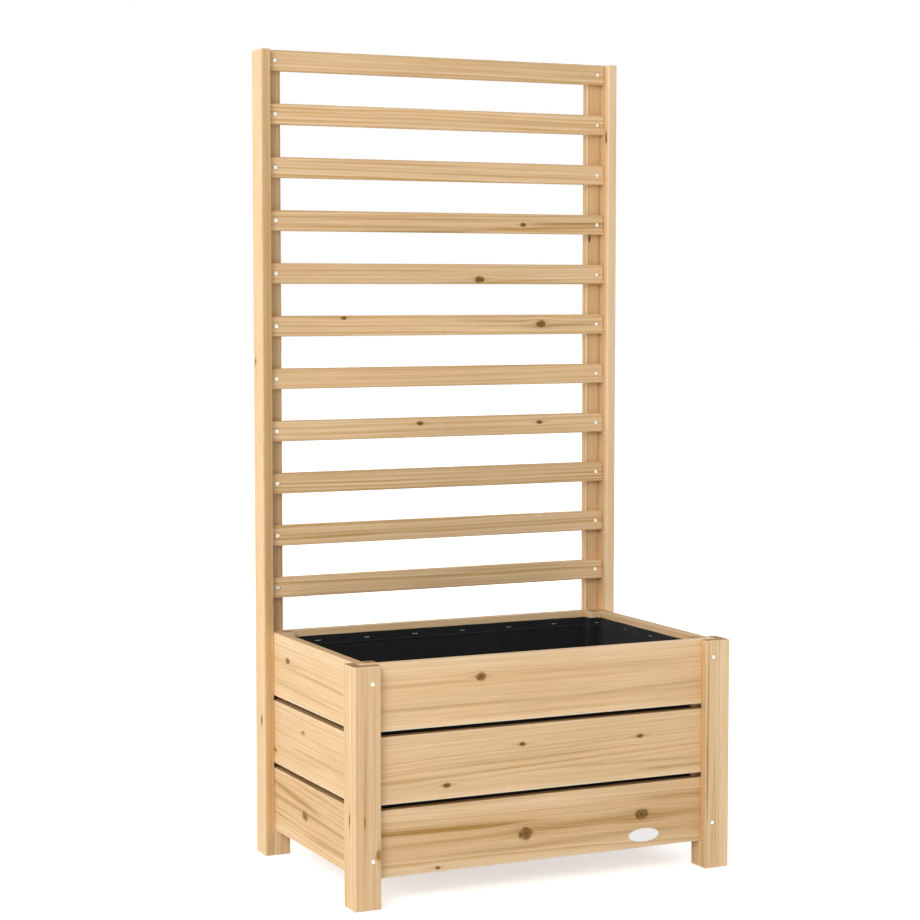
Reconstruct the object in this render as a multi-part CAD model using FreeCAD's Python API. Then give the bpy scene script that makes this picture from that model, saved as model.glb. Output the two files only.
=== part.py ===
import FreeCAD, Part
import math
import os

V = FreeCAD.Vector

# Wooden planter box on four corner posts, with a slatted trellis behind it.
# Millimetres. X runs along the front, Y from front to back, Z up. The origin is on the
# floor, in the middle of the footprint.

# ---- Overall footprint and height ----
overall_width = 680.0
overall_depth = 440.0
overall_height = 1370.0

# ---- Corner posts: two boards glued into an L ----
post_face = 45.0          # outer width of each side of the L
post_board_t = 17.0       # thickness of the two boards
post_edge_round = 2.0     # rounding of the free edges
post_seam_ease = 0.5      # small bevel along the glue line

# ---- Box walls: three boards on each side ----
panel_board_h = 108.0
panel_board_t = 16.0
panel_board_gap = 8.5     # open slot between two boards
panel_lift = 44.0         # floor to the lowest board
panel_edge_round = 1.6
panel_end_play = 0.5      # play at each end of a wall board
boards_per_side = 3

# ---- Hidden frame ----
batten_side = 20.0        # square upright inside each corner
batten_edge_ease = 1.0
foot_play = 0.4           # play between a foot block and the wall board above it
rail_side = 20.0          # square rail that carries the floor slats
floor_slat_w = 84.0
floor_slat_t = 12.0
floor_slat_count = 6
floor_edge_ease = 1.0
floor_end_play = 1.0      # play at the ends of a floor slat

# ---- Fabric liner ----
liner_t = 1.2
liner_side_gap = 0.3      # air between cloth and wall
liner_drop = 11.0         # top hem below the rim of the box
liner_hem_h = 18.0        # folded hem along the top
liner_hem_t = 0.8         # extra thickness of the folded hem

# ---- Trellis ----
trellis_slat_h = 35.0
trellis_slat_t = 13.0
trellis_slat_count = 11
trellis_first_gap = 57.0  # rim of the box to the lowest slat
trellis_edge_round = 1.5
trellis_end_play = 0.5

# ---- Countersunk screws ----
screw_head_d = 7.4
screw_shank_d = 4.0
screw_tip_d = 1.0
screw_sides = 16          # flats that stand for the round of a screw or its hole
screw_head_sunk = 0.3     # head below the face of the wood
screw_tip_l = 4.0
screw_tip_cover = 4.0     # wood left beyond the point
screw_hole_play = 0.25    # radial play in the drilled board
pilot_tip_play = 0.5
frame_screw_from_rim = 28.0
frame_screw_from_lift = 33.0
cutter_over = 1.0         # how far a cutter stands out of the wood

# ---- Values that follow from the sizes above ----
box_h = panel_lift + boards_per_side * panel_board_h + (boards_per_side - 1) * panel_board_gap
half_w = overall_width / 2.0
half_d = overall_depth / 2.0
notch = post_face - post_board_t
wall_in = post_board_t + panel_board_t
trellis_low_z = box_h + trellis_first_gap
trellis_pitch = (overall_height - trellis_slat_h - trellis_low_z) / (trellis_slat_count - 1)
floor_z = panel_lift + rail_side
liner_z0 = floor_z + floor_slat_t
liner_z1 = box_h - liner_drop
screw_line = post_board_t + notch / 2.0
trellis_screw_l = trellis_slat_t + post_board_t - screw_tip_cover
frame_screw_l = post_board_t + panel_board_t - screw_tip_cover

made = {}


def at(axis, u, v, w):
    """Point from section coordinates (u, v) and the position w along the axis."""
    if axis == "x":
        return V(w, u, v)
    if axis == "y":
        return V(u, w, v)
    return V(u, v, w)


def bar(axis, u0, v0, u1, v1, w0, w1, corners):
    """Straight bar with the section u0..u1 by v0..v1 and one treatment for each corner.

    corners goes round the section from (u0, v0) to (u1, v0), (u1, v1) and (u0, v1).
    Each entry is (kind, size), where kind is "round", "bevel" or "sharp".
    """
    spots = [(u0, v0), (u1, v0), (u1, v1), (u0, v1)]
    ends = []
    for i, (u, v) in enumerate(spots):
        kind, size = corners[i]
        if kind == "sharp":
            size = 0.0
        before = spots[i - 1]
        after = spots[(i + 1) % 4]
        leg_in = math.hypot(before[0] - u, before[1] - v)
        leg_out = math.hypot(after[0] - u, after[1] - v)
        a = (u + (before[0] - u) / leg_in * size, v + (before[1] - v) / leg_in * size)
        b = (u + (after[0] - u) / leg_out * size, v + (after[1] - v) / leg_out * size)
        ends.append((kind, size, a, b))
    edges = []
    for i in range(4):
        kind, size, a, b = ends[i]
        if kind == "round":
            cu = a[0] + b[0] - spots[i][0]
            cv = a[1] + b[1] - spots[i][1]
            mu = cu + (spots[i][0] - cu) / math.sqrt(2.0)
            mv = cv + (spots[i][1] - cv) / math.sqrt(2.0)
            arc = Part.Arc(at(axis, a[0], a[1], w0), at(axis, mu, mv, w0), at(axis, b[0], b[1], w0))
            edges.append(arc.toShape())
        elif kind == "bevel":
            edges.append(Part.makeLine(at(axis, a[0], a[1], w0), at(axis, b[0], b[1], w0)))
        nxt = ends[(i + 1) % 4][2]
        edges.append(Part.makeLine(at(axis, b[0], b[1], w0), at(axis, nxt[0], nxt[1], w0)))
    face = Part.Face(Part.Wire(edges))
    return face.extrude(at(axis, 0.0, 0.0, w1 - w0))


def eased(kind, size):
    """The same treatment on all four corners."""
    return [(kind, size)] * 4


def keep(name, shape):
    """Write one piece, and remember it."""
    made[name] = shape
    shape.exportStep("parts/" + name + ".step")
    solids = len(shape.Solids)
    print("%-28s %2d solid(s) %10.1f mm3" % (name, solids, shape.Volume))


def to_corner(shape, sx, sy, turns):
    """Turn a piece made at the origin by quarter turns and carry it to a corner of the plan."""
    shape = shape.copy()
    shape.rotate(V(0, 0, 0), V(0, 0, 1), 90.0 * turns)
    shape.translate(V(sx * half_w, sy * half_d, 0))
    return shape


def turned(rings):
    """Closed solid along +Y through rings of (radius, y), drawn with flats instead of true rounds.

    Screws and their holes come in dozens, so they have screw_sides flats each.
    """
    loops = []
    for radius, y in rings:
        loop = []
        for i in range(screw_sides):
            a = 2.0 * math.pi * (i + 0.5) / screw_sides
            loop.append(V(radius * math.cos(a), y, radius * math.sin(a)))
        loops.append(loop)
    faces = [Part.Face(Part.makePolygon(loop + [loop[0]])) for loop in (loops[0], loops[-1])]
    for low, high in zip(loops, loops[1:]):
        for i in range(screw_sides):
            j = (i + 1) % screw_sides
            faces.append(Part.Face(Part.makePolygon([low[i], low[j], high[j], high[i], low[i]])))
    solid = Part.makeSolid(Part.makeShell(faces))
    if solid.Volume < 0:
        solid.reverse()
    return solid


def screw(length):
    """Countersunk screw along +Y; the face of the wood is at Y = 0."""
    neck = screw_head_sunk + (screw_head_d - screw_shank_d) / 2.0
    rings = [(screw_head_d / 2.0, screw_head_sunk), (screw_shank_d / 2.0, neck)]
    rings += [(screw_shank_d / 2.0, length - screw_tip_l), (screw_tip_d / 2.0, length)]
    return turned(rings)


def clearance_hole(through):
    """Cutter for the countersunk hole of the board under the head."""
    shank_r = screw_shank_d / 2.0 + screw_hole_play
    mouth = screw_head_d / 2.0 + screw_head_sunk + cutter_over
    neck = mouth - shank_r - cutter_over
    return turned([(mouth, -cutter_over), (shank_r, neck), (shank_r, through + cutter_over)])


def pilot_hole(start, length):
    """Cutter for the blind hole that the shank bites into."""
    shank_r = screw_shank_d / 2.0
    return turned([(shank_r, start - cutter_over), (shank_r, length + pilot_tip_play)])


def drive(tool, x, y, z, way):
    """Set a screw or a cutter on a face at y; way is +1 to drive it backwards, -1 forwards."""
    tool = tool.copy()
    if way < 0:
        tool.rotate(V(0, 0, 0), V(0, 0, 1), 180)
    tool.translate(V(x, y, z))
    return tool


os.makedirs("parts", exist_ok=True)

# ---- Corner posts ----
# One L is drawn at the origin and turned by a quarter from corner to corner, so that the wide
# board faces front, right, back and left in turn, and the narrow one butts against it.
corners = {
    "front_left_leg": (-1, -1, 0, box_h),
    "front_right_leg": (1, -1, 1, box_h),
    "rear_right_post": (1, 1, 2, overall_height),
    "rear_left_post": (-1, 1, 3, overall_height),
}
free = ("round", post_edge_round)
seam = ("bevel", post_seam_ease)
blunt = ("sharp", 0.0)
boards = {}
for name, (sx, sy, turns, height) in corners.items():
    wide = bar("z", 0.0, 0.0, post_face, post_board_t, 0.0, height, [free, free, free, seam])
    narrow = bar("z", 0.0, post_board_t, post_board_t, post_face, 0.0, height,
                 [seam, blunt, free, free])
    boards[name + "_wide"] = to_corner(wide, sx, sy, turns)
    boards[name + "_narrow"] = to_corner(narrow, sx, sy, turns)

# ---- Box walls ----
# The front and back boards run behind the wide faces of the posts. The side boards stand
# between them, so the posts wrap the corners of the box from outside.
outer = ("round", panel_edge_round)
rows = ["bottom", "middle", "top"]
wall_x = half_w - post_board_t - panel_end_play
wall_y = half_d - post_board_t
side_x = half_w - post_board_t
side_y = half_d - wall_in - panel_end_play
for i in range(boards_per_side):
    z0 = panel_lift + i * (panel_board_h + panel_board_gap)
    z1 = z0 + panel_board_h
    row = rows[i]
    boards["front_board_" + row] = bar("x", -wall_y, z0, -wall_y + panel_board_t, z1,
                                       -wall_x, wall_x, [outer, blunt, blunt, outer])
    boards["rear_board_" + row] = bar("x", wall_y - panel_board_t, z0, wall_y, z1,
                                      -wall_x, wall_x, [blunt, outer, outer, blunt])
    boards["left_board_" + row] = bar("y", -side_x, z0, -side_x + panel_board_t, z1,
                                      -side_y, side_y, [outer, blunt, blunt, outer])
    boards["right_board_" + row] = bar("y", side_x - panel_board_t, z0, side_x, z1,
                                       -side_y, side_y, [blunt, outer, outer, blunt])

# ---- Foot blocks and corner battens ----
small = eased("bevel", batten_edge_ease)
for name, (sx, sy, turns, height) in corners.items():
    place = name.rsplit("_", 1)[0]
    foot = bar("z", post_board_t, post_board_t, post_face, post_face, 0.0,
               panel_lift - foot_play, small)
    boards[place + "_foot_block"] = to_corner(foot, sx, sy, turns)
    batten = bar("z", wall_in, wall_in, wall_in + batten_side, wall_in + batten_side,
                 panel_lift, box_h, small)
    boards[place + "_corner_batten"] = to_corner(batten, sx, sy, turns)

# ---- Floor: two rails and the slats across them ----
rail_x = half_w - wall_in - batten_side - floor_end_play
rail_y = half_d - wall_in
boards["floor_rail_front"] = bar("x", -rail_y, panel_lift, -rail_y + rail_side, floor_z,
                                 -rail_x, rail_x, eased("bevel", batten_edge_ease))
boards["floor_rail_rear"] = bar("x", rail_y - rail_side, panel_lift, rail_y, floor_z,
                                -rail_x, rail_x, eased("bevel", batten_edge_ease))
floor_step = (2.0 * rail_x - floor_slat_w) / (floor_slat_count - 1)
for i in range(floor_slat_count):
    x0 = -rail_x + i * floor_step
    boards["floor_slat_%d" % (i + 1)] = bar("y", x0, floor_z, x0 + floor_slat_w,
                                            floor_z + floor_slat_t, -rail_y + floor_end_play,
                                            rail_y - floor_end_play,
                                            eased("bevel", floor_edge_ease))

# ---- Trellis slats ----
# They lie in the notch of the back posts, against the board that faces back.
slat_x = half_w - post_board_t - trellis_end_play
slat_y = half_d - post_board_t - trellis_slat_t
slat_mid_z = []
for i in range(trellis_slat_count):
    z1 = overall_height - i * trellis_pitch
    z0 = z1 - trellis_slat_h
    slat_mid_z.append((z0 + z1) / 2.0)
    boards["trellis_slat_%02d" % (i + 1)] = bar("x", slat_y, z0, slat_y + trellis_slat_t, z1,
                                                -slat_x, slat_x,
                                                eased("round", trellis_edge_round))

# ---- Screws and their holes ----
screw_x = half_w - screw_line
trellis_screws = []
one_screw = screw(trellis_screw_l)
slat_hole = clearance_hole(trellis_slat_t)
post_pilot = pilot_hole(trellis_slat_t, trellis_screw_l)
for side, board in ((-1, "rear_left_post_narrow"), (1, "rear_right_post_wide")):
    pilots = []
    for i, z in enumerate(slat_mid_z):
        slat = "trellis_slat_%02d" % (i + 1)
        boards[slat] = boards[slat].cut(drive(slat_hole, side * screw_x, slat_y, z, 1))
        pilots.append(drive(post_pilot, side * screw_x, slat_y, z, 1))
        trellis_screws.append(drive(one_screw, side * screw_x, slat_y, z, 1))
    boards[board] = boards[board].cut(Part.makeCompound(pilots))

frame_screws = []
long_screw = screw(frame_screw_l)
leg_hole = clearance_hole(post_board_t)
wall_pilot = pilot_hole(post_board_t, frame_screw_l)
frame_rows = [("top", box_h - frame_screw_from_rim), ("bottom", panel_lift + frame_screw_from_lift)]
faces = [
    (-1, -1, "front_left_leg_wide", "front_board_"),
    (1, -1, "front_right_leg_narrow", "front_board_"),
    (-1, 1, "rear_left_post_narrow", "rear_board_"),
    (1, 1, "rear_right_post_wide", "rear_board_"),
]
for sx, sy, post, wall in faces:
    for row, z in frame_rows:
        x = sx * screw_x
        y = sy * half_d
        boards[post] = boards[post].cut(drive(leg_hole, x, y, z, -sy))
        boards[wall + row] = boards[wall + row].cut(drive(wall_pilot, x, y, z, -sy))
        frame_screws.append(drive(long_screw, x, y, z, -sy))

# ---- Fabric liner ----
# One closed skin that follows the walls and steps in round the corner battens.


def liner_outline(inset, z):
    """Plan of the lined space, drawn in from the wood by inset."""
    ax = half_w - wall_in - inset
    ay = half_d - wall_in - inset
    bx = ax - batten_side
    by = ay - batten_side
    pts = [(-bx, -ay), (bx, -ay), (bx, -by), (ax, -by), (ax, by), (bx, by)]
    pts += [(bx, ay), (-bx, ay), (-bx, by), (-ax, by), (-ax, -by), (-bx, -by), (-bx, -ay)]
    return Part.Face(Part.makePolygon([V(u, v, z) for u, v in pts]))


skin = liner_outline(liner_side_gap, liner_z0).extrude(V(0, 0, liner_z1 - liner_z0))
hem_inset = liner_side_gap + liner_t + liner_hem_t
room = liner_outline(liner_side_gap + liner_t, liner_z0 + liner_t)
room = room.extrude(V(0, 0, liner_z1 - liner_hem_h - liner_z0 - liner_t))
mouth = liner_outline(hem_inset, liner_z1 - liner_hem_h).extrude(V(0, 0, liner_hem_h + cutter_over))
liner = skin.cut(room.fuse(mouth))

for name in boards:
    keep(name, boards[name])
keep("trellis_screws", Part.makeCompound(trellis_screws))
keep("frame_screws", Part.makeCompound(frame_screws))
keep("fabric_liner", liner)

box = Part.makeCompound([made[name] for name in made]).BoundBox
print("box %.1f x %.1f x %.1f, from z %.2f" % (box.XLength, box.YLength, box.ZLength, box.ZMin))
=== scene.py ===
"""Planter box on four corner posts with a slatted trellis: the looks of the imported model."""

import math
import random
from types import SimpleNamespace

import bmesh
import bpy
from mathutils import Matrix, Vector


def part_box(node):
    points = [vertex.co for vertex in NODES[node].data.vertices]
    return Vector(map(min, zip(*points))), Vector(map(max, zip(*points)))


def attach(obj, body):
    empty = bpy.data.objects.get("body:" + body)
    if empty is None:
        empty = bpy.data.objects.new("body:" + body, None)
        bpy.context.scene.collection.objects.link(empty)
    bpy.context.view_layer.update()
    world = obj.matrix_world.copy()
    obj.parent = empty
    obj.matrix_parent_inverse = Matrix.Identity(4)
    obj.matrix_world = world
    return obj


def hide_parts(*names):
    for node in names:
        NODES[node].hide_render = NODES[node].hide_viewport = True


bl_info = {
    "name": "Planter with trellis",
    "version": (1, 0, 0),
    "blender": (4, 5, 0),
    "location": "View3D > Sidebar > Planter",
    "description": "Dresses a fir planter box with a trellis: wood, screws, cloth liner, plate and studio",
    "category": "Object",
}

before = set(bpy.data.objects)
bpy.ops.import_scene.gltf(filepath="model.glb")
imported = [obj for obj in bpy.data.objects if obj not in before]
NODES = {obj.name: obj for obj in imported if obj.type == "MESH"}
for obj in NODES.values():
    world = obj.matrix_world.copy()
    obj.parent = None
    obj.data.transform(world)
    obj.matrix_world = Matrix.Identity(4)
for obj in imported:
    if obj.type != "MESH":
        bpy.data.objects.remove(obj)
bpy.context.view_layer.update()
MM = 0.001
WHITE = (1.0, 1.0, 1.0, 1.0)


def paint(code):
    """Linear colour for a colour written as it should look on screen, such as "DDBB8E"."""
    channels = []
    for start in (0, 2, 4):
        value = int(code[start : start + 2], 16) / 255.0
        channels.append(value / 12.92 if value <= 0.04045 else ((value + 0.055) / 1.055) ** 2.4)
    return (*channels, 1.0)


def named(start):
    """CAD nodes whose name begins with start, in order."""
    return sorted(name for name in NODES if name.startswith(start))


# ---------------------------------------------------------------------------
# Settings that a user would change
# ---------------------------------------------------------------------------


def colour_setting(name, description, code):
    return bpy.props.FloatVectorProperty(
        name=name, description=description, default=paint(code), size=4, min=0.0, max=1.0, subtype="COLOR"
    )


def number_setting(name, description, default, **kind):
    return bpy.props.FloatProperty(name=name, description=description, default=default, min=0.0, **kind)


def length_setting(name, description, millimetres):
    return number_setting(
        name, description, millimetres * MM, precision=4, subtype="DISTANCE", unit="LENGTH"
    )


def share_setting(name, description, share):
    return number_setting(name, description, share, max=1.0, subtype="FACTOR")


class PlanterWoodSettings(bpy.types.PropertyGroup):
    early: colour_setting("Pale wood", "Wood between the growth lines", "F1D0A5")
    late: colour_setting("Growth lines", "Darker wood of the growth lines", "C38A2C")
    brown: colour_setting("Brown streaks", "Streaks of older, browner wood", "AD803A")
    knot: colour_setting("Knots", "Wood inside a knot", "A0742C")
    # Pale colour painted along the arrises as a highlight.
    arris_highlight: colour_setting("Arris highlight", "Painted highlight along the arrises", "FFF2DA")
    bark: colour_setting("Knot rims", "Dark rim and heart of a knot", "482B06")
    line_strength: share_setting("Line strength", "How clearly the growth lines show", 0.9)
    roughness: share_setting("Roughness", "Roughness of the planed wood", 0.6)
    # Width of the painted highlight along the arrises, and of the painted shade along the slats' arrises.
    arris_light_width: length_setting("Arris light width", "Width of the painted highlight and shade along the arrises", 3.2)
    relief: length_setting("Relief", "Height of the grain that a finger would feel", 0.12)


class PlanterScrewSettings(bpy.types.PropertyGroup):
    steel: colour_setting("Steel", "Bright zinc plate", "FFFBEE")
    recess_reach: length_setting("Recess reach", "Centre of the head to the end of a cross arm", 1.95)
    recess_width: length_setting("Recess width", "Width of a cross arm", 0.9)
    recess_depth: length_setting("Recess depth", "Depth of the cross", 1.4)
    thread_pitch: length_setting("Thread pitch", "Rise of the thread in one turn", 1.6)
    thread_height: length_setting("Thread height", "Thread crest above the core", 0.5)


class PlanterLinerSettings(bpy.types.PropertyGroup):
    cloth: colour_setting("Cloth", "Black felted cloth", "1B1B1D")
    thread: colour_setting("Thread", "Hem stitches", "3A3A3E")
    thickness: length_setting("Thickness", "Thickness of the cloth", 1.2)
    hem_height: length_setting("Hem height", "Depth of the folded hem", 18.0)
    fold_depth: length_setting("Fold depth", "Depth of the soft folds in the walls", 3.4)
    stitch_pitch: length_setting("Stitch pitch", "Distance between two stitches", 5.0)
    staple_spacing: length_setting("Staple spacing", "Distance between two staples", 92.0)


class PlanterPlateSettings(bpy.types.PropertyGroup):
    enamel: colour_setting("Enamel", "Bare white enamel", "FFFFFF")
    rim: colour_setting("Rim", "Bare metal with painted edge shade on the rolled rim", "D2CFC2")
    width: length_setting("Width", "Width of the oval", 59.0)
    height: length_setting("Height", "Height of the oval", 23.0)
    thickness: length_setting("Thickness", "How far the plate stands off the board", 1.2)


class PlanterStageSettings(bpy.types.PropertyGroup):
    floor: colour_setting("Floor", "Pale studio floor", "F7F7F6")
    world_level: number_setting("Room light", "Level of the even light of the room", 0.49)
    key_power: number_setting("Key light", "Lamp at the left", 43.0, unit="POWER")
    front_power: number_setting("Front light", "Lamp at the left of the camera", 89.0, unit="POWER")
    rear_power: number_setting("Rear light", "Lamp behind the trellis", 42.0, unit="POWER")
    lens: number_setting("Lens", "Focal length of the camera", 89.171, subtype="DISTANCE_CAMERA")


# ---------------------------------------------------------------------------
# Node trees
# ---------------------------------------------------------------------------


class Flow:
    """What a node puts out. Sums written with it become Math nodes in its tree."""

    def __init__(self, bench, socket):
        self.bench, self.socket = bench, socket

    def __add__(self, other):
        return self.bench.maths("ADD", self, other)

    def __sub__(self, other):
        return self.bench.maths("SUBTRACT", self, other)

    def __mul__(self, other):
        return self.bench.maths("MULTIPLY", self, other)

    def __truediv__(self, other):
        return self.bench.maths("DIVIDE", self, other)

    def __pow__(self, power):
        return self.bench.maths("POWER", self, power)


class Bench:
    """Adds nodes to one tree and wires them up. A value is a number, a colour or a Flow."""

    def __init__(self, tree):
        self.tree, self.count = tree, 0

    def add(self, kind, feeds=(), **settings):
        node = self.tree.nodes.new(kind)
        node.location = (220 * (self.count % 12), -260 * (self.count // 12))
        self.count += 1
        for name, value in settings.items():
            setattr(node, name, value)
        self.wire(node, feeds)
        return node

    def out(self, kind, feeds=(), pick=0, **settings):
        """Adds a node and returns one of its outputs."""
        return Flow(self, self.add(kind, feeds, **settings).outputs[pick])

    def wire(self, node, feeds):
        """Feeds the inputs of a node, each by its name or number."""
        for key, value in dict(feeds).items():
            if isinstance(value, Flow):
                self.tree.links.new(value.socket, node.inputs[key])
            else:
                node.inputs[key].default_value = value

    def maths(self, operation, *values, clamp=False):
        return self.out("ShaderNodeMath", enumerate(values), operation=operation, use_clamp=clamp)

    def vectors(self, operation, *values, pick=0):
        return self.out("ShaderNodeVectorMath", enumerate(values), pick, operation=operation)

    def largest(self, first, *others):
        for other in others:
            first = self.maths("MAXIMUM", first, other)
        return first

    def length(self, x, y):
        return self.maths("SQRT", x * x + y * y)

    def bell(self, fall):
        """1 where fall is 0, and less and less as it grows."""
        return self.maths("EXPONENT", fall * -1.0)

    def split(self, vector):
        outputs = self.add("ShaderNodeSeparateXYZ", {0: vector}).outputs
        return [Flow(self, outputs[i]) for i in range(3)]

    def join(self, x, y, z):
        return self.out("ShaderNodeCombineXYZ", {0: x, 1: y, 2: z})

    def times_all(self, colour, x, y=None, z=None):
        """The three channels times x, y and z, or all of them times x."""
        return self.vectors("MULTIPLY", colour, self.join(x, y or x, z or x))

    def ramp(self, value, low, high, to_low=0.0, to_high=1.0, kind="SMOOTHSTEP"):
        """value carried from low..high to to_low..to_high, held at both ends."""
        feeds = {0: value, 1: low, 2: high, 3: to_low, 4: to_high}
        return self.out("ShaderNodeMapRange", feeds, interpolation_type=kind)

    def blend(self, share, a, b, kind="MIX"):
        feeds = {0: share, 6: a, 7: b}
        return self.out("ShaderNodeMix", feeds, 2, data_type="RGBA", blend_type=kind, clamp_factor=True)

    def noise(self, vector, scale, detail=2.0, roughness=0.5):
        feeds = {"Vector": vector, "Scale": scale, "Detail": detail, "Roughness": roughness}
        return self.out("ShaderNodeTexNoise", feeds)

    def noise_along(self, value, detail=1.0):
        feeds = {"W": value, "Scale": 1.0, "Detail": detail}
        return self.out("ShaderNodeTexNoise", feeds, noise_dimensions="1D")

    def spot(self):
        return self.out("ShaderNodeTexCoord", pick="Object")

    def bump(self, strength, distance, height):
        return self.out("ShaderNodeBump", {"Strength": strength, "Distance": distance, "Height": height})

    def seen_plainly(self):
        """1 for rays from the camera, also by way of metal or glass."""
        rays = self.add("ShaderNodeLightPath").outputs
        kinds = ("Is Camera Ray", "Is Glossy Ray", "Is Transmission Ray")
        return self.largest(*(Flow(self, rays[kind]) for kind in kinds))


SOCKET_KINDS = {
    "": "NodeSocketFloat",
    "vector": "NodeSocketVector",
    "colour": "NodeSocketColor",
    "shape": "NodeSocketGeometry",
    "object": "NodeSocketObject",
    "finish": "NodeSocketMaterial",
    "whole": "NodeSocketInt",
}


def handle(title):
    """A socket's title as a name in this script: half_size for "Half Size"."""
    return title.lower().replace(" ", "_")


def new_group(name, inputs, outputs, kind="ShaderNodeTree"):
    """An empty group. Returns its bench, its inputs by handle and a function that feeds its outputs.

    A socket holds a number unless its title goes on with another kind, as in "Cloth: colour".
    """
    tree = bpy.data.node_groups.new(name, kind)
    titles = {"INPUT": [], "OUTPUT": []}
    for in_out, sockets in (("INPUT", inputs), ("OUTPUT", outputs)):
        for socket in sockets.split(", "):
            title, _, what = socket.partition(": ")
            tree.interface.new_socket(name=title, in_out=in_out, socket_type=SOCKET_KINDS[what])
            titles[in_out].append(title)
    bench = Bench(tree)
    inlet, outlet = bench.add("NodeGroupInput"), bench.add("NodeGroupOutput")
    fed = SimpleNamespace(**{handle(title): Flow(bench, inlet.outputs[title]) for title in titles["INPUT"]})

    def finish(*values):
        bench.wire(outlet, zip(titles["OUTPUT"], values))

    return bench, fed, finish


def place_group(bench, name, **feeds):
    """Puts the group of that name in a tree, fed by handle, and returns its outputs by handle."""
    node = bench.add("ShaderNodeGroup")
    node.node_tree = bpy.data.node_groups[name]
    bench.wire(node, {socket.name: feeds[handle(socket.name)] for socket in node.inputs})
    return {handle(socket.name): Flow(bench, socket) for socket in node.outputs}


def new_material(name):
    """A material with a Principled shader. Returns the material, its bench and the shader."""
    material = bpy.data.materials.new(name)
    material.use_nodes = True
    bench = Bench(material.node_tree)
    bench.tree.nodes.clear()
    shader = bench.add("ShaderNodeBsdfPrincipled")
    bench.add("ShaderNodeOutputMaterial", {"Surface": Flow(bench, shader.outputs[0])})
    return material, bench, shader


def dress(piece, material):
    """The piece shows this material and no other."""
    piece.data.materials.clear()
    piece.data.materials.append(material)


# ---------------------------------------------------------------------------
# Fir: groups that every wooden piece shares
# ---------------------------------------------------------------------------


def knot_flow_group():
    """One knot: turns the grain round it and measures how near a point is to it.

    Vector is in board space: along the grain, across the board, through its thickness.
    Nearest is 1 on the rim of the nearest knot so far, and Tail is the brown that runs off it.
    """
    inputs = "Vector: vector, Nearest, Tail, Along, Across, Radius, Stretch, Bend"
    bench, fed, finish = new_group("knot_flow", inputs, "Vector: vector, Nearest, Tail")
    along, across, through = bench.split(fed.vector)
    radius = fed.radius
    du, dv = (along - fed.along) / fed.stretch, across - fed.across
    wobble = bench.ramp(bench.noise(fed.vector, 80.0, 1.0), 0.3, 0.7, 0.87, 1.13, "LINEAR")
    nearness = bench.length(du, dv) / (radius * wobble)
    long_du, wide = du * 0.42, radius * 1.7
    pull = bench.bell((long_du * long_du + dv * dv) / (wide * wide)) * fed.bend
    turned = bench.join(along, across - dv * pull, through + radius * 0.9 * pull)
    tail_du, tail_dv = du * 0.34 / radius, dv * 1.5 / radius
    tail = bench.bell(tail_du * tail_du + tail_dv * tail_dv)
    finish(turned, bench.maths("MINIMUM", fed.nearest, nearness), bench.largest(fed.tail, tail))


def stain_patch_group():
    """One long streak in board space, strongest in its middle: brown above 0, paler wood below."""
    inputs = "Vector: vector, Amount, Along, Across, Length, Height, Slope, Strength"
    bench, fed, finish = new_group("stain_patch", inputs, "Amount")
    along, across, _ = bench.split(fed.vector)
    run = along - fed.along
    du = bench.maths("ABSOLUTE", run / fed.length)
    dv = (across - fed.across - run * fed.slope) / fed.height
    finish(fed.amount + bench.bell(dv * dv + du**4.0) * fed.strength)


def painted_arris_light_group():
    """Where two faces of a straight piece meet: 1 on the arris, 0 a Width away from it; the mask of painted
    light and shade along the arrises.
    """
    bench, fed, finish = new_group("edge_wear", "Vector: vector, Half Size: vector, Width", "Mask")
    inset = bench.vectors("SUBTRACT", fed.half_size, bench.vectors("ABSOLUTE", fed.vector))
    x, y, z = (bench.ramp(distance, 0.0, fed.width, 1.0, 0.0) for distance in bench.split(inset))
    broken = bench.ramp(bench.noise(fed.vector, 60.0, 3.0), 0.24, 0.52)
    finish(bench.largest(x * y, y * z, z * x) * broken)


def painted_screw_ring_group():
    """The ring of painted shade round a screw head."""
    bench, fed, finish = new_group("screw_seat", "Vector: vector, Mask, Along, Across, Radius", "Mask")
    along, across, _ = bench.split(fed.vector)
    gap = bench.length(along - fed.along, across - fed.across) / fed.radius
    finish(bench.largest(fed.mask, bench.ramp(gap, 1.0, 1.5, 1.0, 0.0)))


# Noises of the fir: waves in a metre along and across the grain, detail and roughness.
FIR_NOISES = {
    "bends": (2.6, 11.0, 1.0, 0.5),
    "waves": (14.0, 90.0, 2.0, 0.5),
    "line fade": (3.2, 22.0, 2.0, 0.5),
    "band fade": (2.2, 12.0, 1.0, 0.5),
    "fine fade": (5.0, 60.0, 1.0, 0.5),
    "hair": (8.0, 330.0, 2.0, 0.5),
    "hue": (7.0, 50.0, 1.0, 0.5),
    "fibre": (26.0, 900.0, 3.0, 0.6),
    "broad": (3.5, 15.0, 2.0, 0.5),
}
FIR_WAVE_HEIGHT = 1.3 * MM
FIR_HUES = (1.008, 0.994, 0.975, 1.0), (0.99, 1.008, 1.005, 1.0)  # the wood times a warm and a cool tint
# Sawn wood is the planed wood times these: end grain and its growth lines; the last darkens the narrow faces
# in the gaps between boards as painted shade.
SAWN_END, SAWN_LINES = (0.46, 0.375, 0.28, 1.0), (0.37, 0.29, 0.21, 1.0)
GAP_SHADE_TINT = (0.62, 0.55, 0.42, 1.0)


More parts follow.
